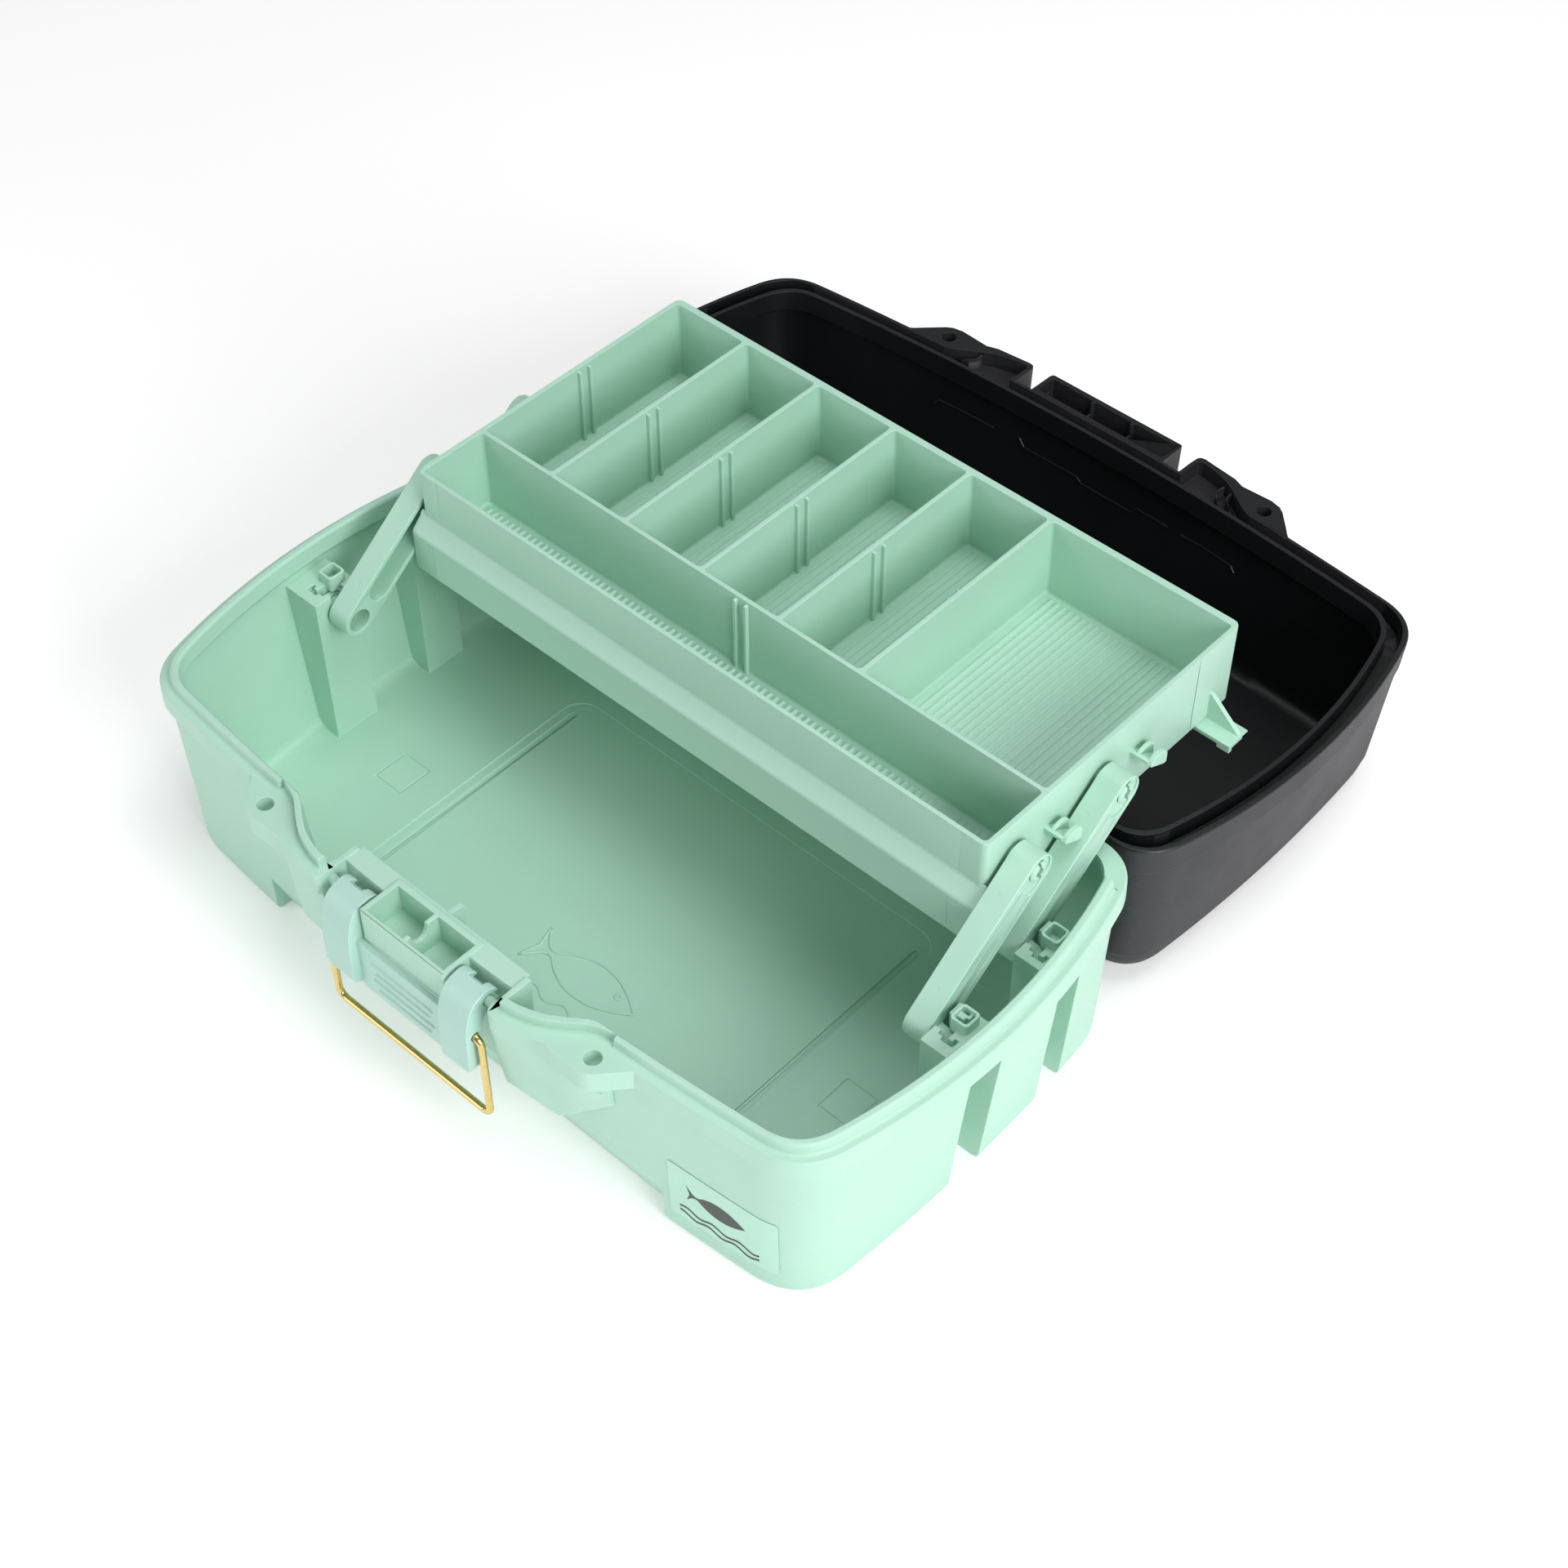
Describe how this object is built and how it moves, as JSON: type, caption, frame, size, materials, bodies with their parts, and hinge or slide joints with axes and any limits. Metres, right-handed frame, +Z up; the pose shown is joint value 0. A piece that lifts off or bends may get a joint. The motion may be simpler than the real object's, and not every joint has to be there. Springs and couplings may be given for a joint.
{
  "type": "fishing tackle box",
  "caption": "Open plastic tackle box: bowed tub, deep hinged lid, divided cantilever tray on swing arms, draw latch with wire bail.",
  "frame": {"origin": "middle of the tub's underside, on the surface it stands on", "axes": "+X along the box's length to its right end, +Y from the latch side to the hinge side and over the open lid, +Z up"},
  "size_m": [0.3556, 0.4049, 0.1228],
  "materials": {
    "base_tub": "mint green moulded plastic, stippled outside, satin inside",
    "lid_shell": "charcoal moulded plastic, fine grain",
    "tray": "mint green moulded plastic, satin",
    "arm_front_right": "mint green moulded plastic, satin",
    "arm_rear_right": "mint green moulded plastic, satin",
    "arm_front_left": "mint green moulded plastic, satin",
    "arm_rear_left": "mint green moulded plastic, satin",
    "latch_lever": "bluish mint moulded plastic, satin",
    "bail": "brass-plated round wire",
    "handle": "charcoal moulded plastic",
    "hinge_pin_left": "plain steel wire",
    "hinge_pin_right": "plain steel wire",
    "front_label": null
  },
  "bodies": {
    "base": {"base_tub": "base_tub", "front_label": "front_label", "hinge_pin_left": "hinge_pin_left", "hinge_pin_right": "hinge_pin_right"},
    "lid": {"lid_shell": "lid_shell"},
    "handle": {"handle": "handle"},
    "arm_fr": {"arm_front_right": "arm_front_right"},
    "arm_rr": {"arm_rear_right": "arm_rear_right"},
    "arm_fl": {"arm_front_left": "arm_front_left"},
    "arm_rl": {"arm_rear_left": "arm_rear_left"},
    "tray": {"tray": "tray"},
    "lever": {"latch_lever": "latch_lever"},
    "bail": {"bail": "bail"}
  },
  "joints": [
    {"name": "lid_hinge", "type": "hinge", "parent": "base", "child": "lid", "pos_m": [0, 0.0959, 0.0824], "axis": [1, 0, 0], "range_deg": [0, 182.55]},
    {"name": "handle_pivot", "type": "hinge", "parent": "lid", "child": "handle", "pos_m": [0, 0.17871, 0.01104], "axis": [-1, 0, 0], "range_deg": [0, 90]},
    {"name": "arm_fr_pivot", "type": "hinge", "parent": "base", "child": "arm_fr", "pos_m": [0.146, 0.001, 0.068], "axis": [1, 0, 0], "range_deg": [0, 110.2]},
    {"name": "arm_rr_pivot", "type": "hinge", "parent": "base", "child": "arm_rr", "pos_m": [0.146, 0.049, 0.068], "axis": [1, 0, 0], "range_deg": [0, 110.2]},
    {"name": "arm_fl_pivot", "type": "hinge", "parent": "base", "child": "arm_fl", "pos_m": [-0.146, 0.001, 0.068], "axis": [1, 0, 0], "range_deg": [0, 110.2]},
    {"name": "arm_rl_pivot", "type": "hinge", "parent": "base", "child": "arm_rl", "pos_m": [-0.146, 0.049, 0.068], "axis": [1, 0, 0], "range_deg": [0, 110.2]},
    {"name": "tray_pivot", "type": "hinge", "parent": "arm_fr", "child": "tray", "pos_m": [0.146, 0.05102, 0.1068], "axis": [1, 0, 0], "range_deg": [-110.2, 0]},
    {"name": "lever_pivot", "type": "hinge", "parent": "base", "child": "lever", "pos_m": [0, -0.0975, 0.0792], "axis": [-1, 0, 0], "range_deg": [0, 15]},
    {"name": "bail_pivot", "type": "hinge", "parent": "lever", "child": "bail", "pos_m": [0, -0.105, 0.066], "axis": [-1, 0, 0], "range_deg": [0, 180]}
  ],
  "couplings": [
    {"joint": "arm_fr_pivot", "follows": "lid_hinge", "ratio": 0.60312},
    {"joint": "arm_rr_pivot", "follows": "lid_hinge", "ratio": 0.60312},
    {"joint": "arm_fl_pivot", "follows": "lid_hinge", "ratio": 0.60312},
    {"joint": "arm_rl_pivot", "follows": "lid_hinge", "ratio": 0.60312},
    {"joint": "tray_pivot", "follows": "lid_hinge", "ratio": -0.60312}
  ]
}
